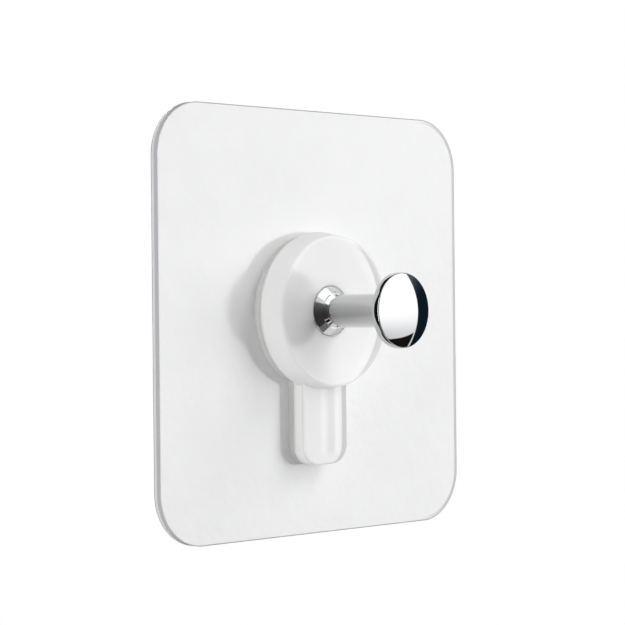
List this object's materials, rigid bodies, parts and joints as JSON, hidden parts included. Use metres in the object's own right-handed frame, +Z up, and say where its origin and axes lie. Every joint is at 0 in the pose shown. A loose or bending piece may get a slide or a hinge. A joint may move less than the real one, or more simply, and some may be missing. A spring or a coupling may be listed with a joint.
{
  "type": "adhesive wall hook",
  "caption": "Adhesive wall hook: a square clear sheet with a frosted keyhole-shaped boss that carries a chrome mushroom-headed peg on a trapped screw.",
  "frame": {"origin": "centre of the back face of the sheet's stack, on the wall plane", "axes": "+Z up along the wall, +X to the right seen from the front, -Y out of the wall along the peg"},
  "size_m": [0.06, 0.0204, 0.06],
  "materials": {
    "liner_film": "thin translucent film",
    "adhesive": "clear gel film",
    "clear_sheet": "clear with a fine embossed texture",
    "bond": "translucent pad",
    "frosted_plastic": "frosted translucent moulding",
    "steel": "zinc plated",
    "chrome": "polished chrome plate"
  },
  "bodies": {
    "plate": {"adhesive_film": "adhesive", "backing_sheet": "clear_sheet", "bond_pad": "bond", "boss": "frosted_plastic", "captive_screw": "steel"},
    "liner": {"release_liner": "liner_film"},
    "collar": {"collar": "chrome"},
    "peg": {"peg": "chrome"}
  },
  "joints": [
    {"name": "liner_peel", "type": "slide", "parent": "plate", "child": "liner", "axis": [0, 1, 0], "range_m": [0, 0.03]},
    {"name": "collar_travel", "type": "slide", "parent": "plate", "child": "collar", "axis": [0, -1, 0], "range_m": [0, 0.0035]},
    {"name": "peg_unscrew", "type": "hinge", "parent": "collar", "child": "peg", "pos_m": [-0.0017, -0.0068, 0.00155], "axis": [0, -1, 0], "range_deg": [0, 2520]}
  ],
  "couplings": [
    {"joint": "peg_unscrew", "follows": "collar_travel", "rad_per_m": 12566}
  ]
}
